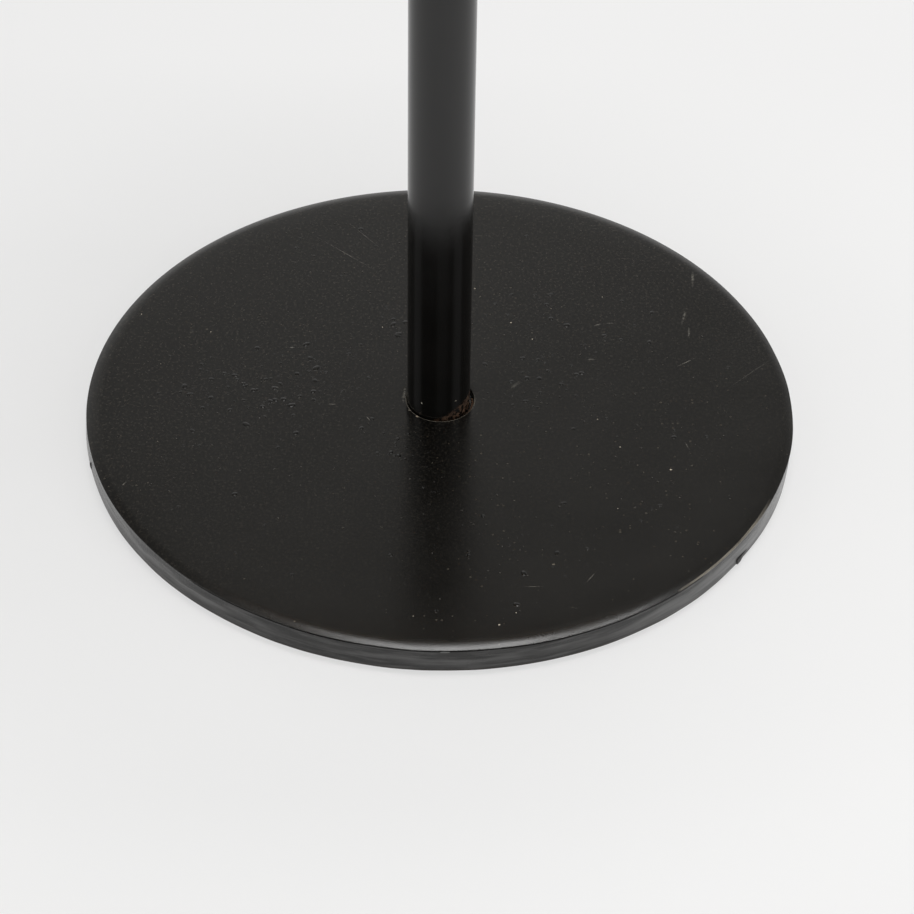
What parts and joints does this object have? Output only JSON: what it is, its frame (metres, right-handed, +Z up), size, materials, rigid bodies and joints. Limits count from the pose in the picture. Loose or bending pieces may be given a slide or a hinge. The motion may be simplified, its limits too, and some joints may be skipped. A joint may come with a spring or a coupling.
{
  "type": "table lamp",
  "caption": "Table lamp with a heavy round black steel base, a straight steel tube stem, a screw lampholder with rotary switch and a tapered woven cane shade.",
  "frame": {"origin": "centre of the felt pad's underside, on the table, below the stem's axis", "axes": "+Z up along the stem, +X towards the rotary switch's knob, +Y towards the back, where the cord's grommet is"},
  "size_m": [0.2914, 0.2914, 0.5042],
  "materials": {
    "black_paint": "satin, with small dust nibs",
    "felt": "needled felt",
    "zinc": "zinc plated",
    "bare_steel": "as turned, oiled",
    "rubber": "moulded",
    "brown_wire": "extruded insulation",
    "blue_wire": "extruded insulation",
    "brass": "bright",
    "nickel": "nickel plated",
    "phenolic": "moulded, half gloss",
    "porcelain": "glazed",
    "black_glass": "glossy",
    "white_plastic": "moulded",
    "circuit_board": "white solder mask",
    "opal": "frosted diffuser",
    "black_wire": "powder coated",
    "cane": "natural, unvarnished"
  },
  "bodies": {
    "lamp": {"felt_pad": "felt", "base_plate": "black_paint", "base_bolt": "zinc", "spring_washer": "zinc", "foot_plug": "bare_steel", "stem_tube": "black_paint", "cable_grommet": "rubber", "live_wire": "brown_wire", "neutral_wire": "blue_wire", "tube_bush": "black_paint", "holder_nipple": "brass", "neck_washer": "zinc", "holder_cap": "phenolic", "cap_set_screw": "zinc", "holder_barrel": "phenolic", "holder_core": "porcelain", "live_terminal_screw": "brass", "neutral_terminal_screw": "brass", "centre_contact": "brass", "screw_shell": "brass", "switch_leaf": "brass", "bulb_contact": "nickel", "bulb_insulator": "black_glass", "bulb_cap": "nickel", "bulb_body": "white_plastic", "led_board": "circuit_board", "bulb_dome": "opal", "fitter_ring": "black_wire", "shade_nut": "phenolic", "lower_ring": "black_wire", "upper_ring": "black_wire", "strut_1": "black_wire", "strut_2": "black_wire", "strut_3": "black_wire", "strut_4": "black_wire", "strut_5": "black_wire", "strut_6": "black_wire", "spider_arm_1": "black_wire", "spider_arm_2": "black_wire", "spider_arm_3": "black_wire", "shade_weave": "cane"},
    "switch": {"switch_shaft": "zinc", "switch_cam": "porcelain", "switch_knob": "phenolic"}
  },
  "joints": [
    {"name": "switch_turn", "type": "hinge", "parent": "lamp", "child": "switch", "pos_m": [0.0281, 0, 0.3301], "axis": [1, 0, 0], "continuous": true}
  ]
}
